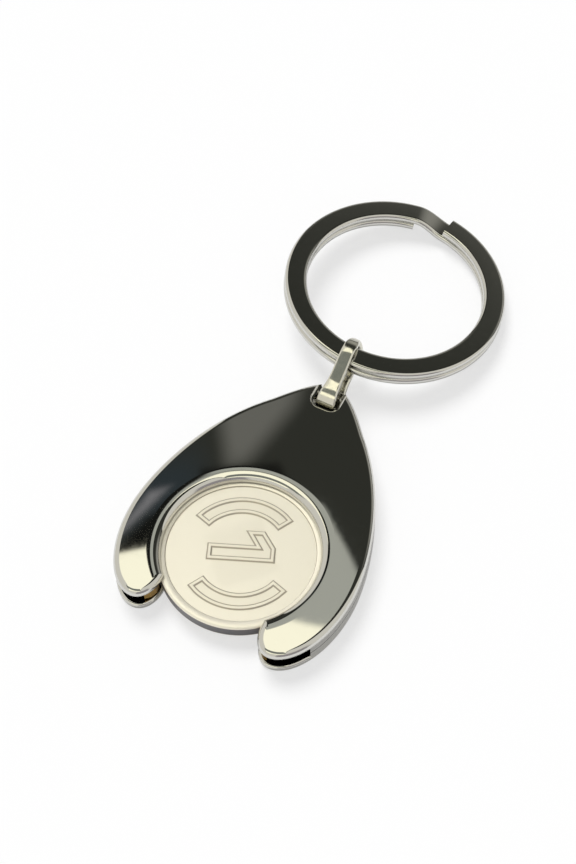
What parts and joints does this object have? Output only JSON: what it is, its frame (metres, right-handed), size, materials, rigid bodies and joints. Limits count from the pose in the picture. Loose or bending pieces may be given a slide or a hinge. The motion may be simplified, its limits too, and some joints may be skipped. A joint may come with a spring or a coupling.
{
  "type": "coin holder keyring",
  "caption": "Polished wishbone-shaped metal holder that grips a round trolley token between its lips, with a tapered band link and a flat-wire split ring.",
  "frame": {"origin": "On the flat back face of the holder, on its centre line, midway between the edge of the round window and the slot for the link.", "axes": "+Z out of the front face, +Y towards the split ring along the symmetry line, +X to the right when the front is seen with the ring end up."},
  "size_m": [0.0342, 0.0779, 0.0083],
  "materials": {
    "holder": "polished nickel plating on die-cast zinc",
    "spring": "bright rolled strip",
    "token": "satin nickel plating on struck steel",
    "link": "polished nickel plating on formed steel band",
    "ring": "polished nickel plating on flat spring wire"
  },
  "bodies": {
    "holder": {"front_shell": "holder", "back_shell": "holder", "retaining_spring": "spring"},
    "token": {"token": "token"},
    "link": {"link": "link"},
    "split_ring": {"split_ring": "ring"}
  },
  "joints": [
    {"name": "token_slide", "type": "slide", "parent": "holder", "child": "token", "axis": [0, -1, 0], "range_m": [0, 0.02], "deforming": ["retaining_spring"]},
    {"name": "link_swing", "type": "hinge", "parent": "holder", "child": "link", "pos_m": [0, 0.00986, 0.0031], "axis": [1, 0, 0], "range_deg": [-112, 72]},
    {"name": "ring_swing", "type": "hinge", "parent": "link", "child": "split_ring", "pos_m": [0, 0.01529, 0.00529], "axis": [1, 0, 0], "range_deg": [-50, 110]}
  ]
}
